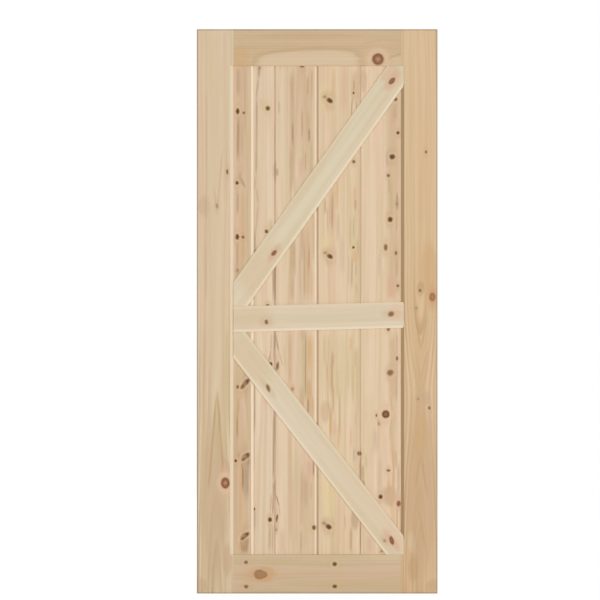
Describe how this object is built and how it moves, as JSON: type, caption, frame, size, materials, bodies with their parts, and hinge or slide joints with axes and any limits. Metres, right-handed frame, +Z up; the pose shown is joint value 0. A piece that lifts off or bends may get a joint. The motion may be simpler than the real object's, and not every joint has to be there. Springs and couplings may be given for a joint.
{
  "type": "sliding barn door",
  "caption": "Knotty pine sliding barn door slab: a stile and rail frame around upright tongue-and-groove planks, with a middle rail and diagonal braces laid over them in the shape of a K.",
  "frame": {"origin": "middle of the bottom edge, half way through the thickness", "axes": "+Z up the door, +X to the right as seen from the front, and the front face looks along -Y"},
  "size_m": [0.91, 0.035, 2.134],
  "materials": {
    "frame_pine": "bare sanded pine, straight and cathedral grain, few knots",
    "plank_pine": "bare sanded pine, warm streaks, many small dark knots",
    "overlay_pine": "bare sanded pine, pale, few knots",
    "dowel_wood": "bare hardwood dowel",
    "screw_steel": "pale yellow zinc plating"
  },
  "bodies": {
    "root": {"left_stile": "frame_pine", "right_stile": "frame_pine", "top_rail": "frame_pine", "bottom_rail": "frame_pine", "plank_1": "plank_pine", "plank_2": "plank_pine", "plank_3": "plank_pine", "plank_4": "plank_pine", "plank_5": "plank_pine", "middle_rail": "overlay_pine", "upper_brace": "overlay_pine", "lower_brace": "overlay_pine", "corner_dowels": "dowel_wood", "brace_screws": "screw_steel"}
  },
  "joints": []
}
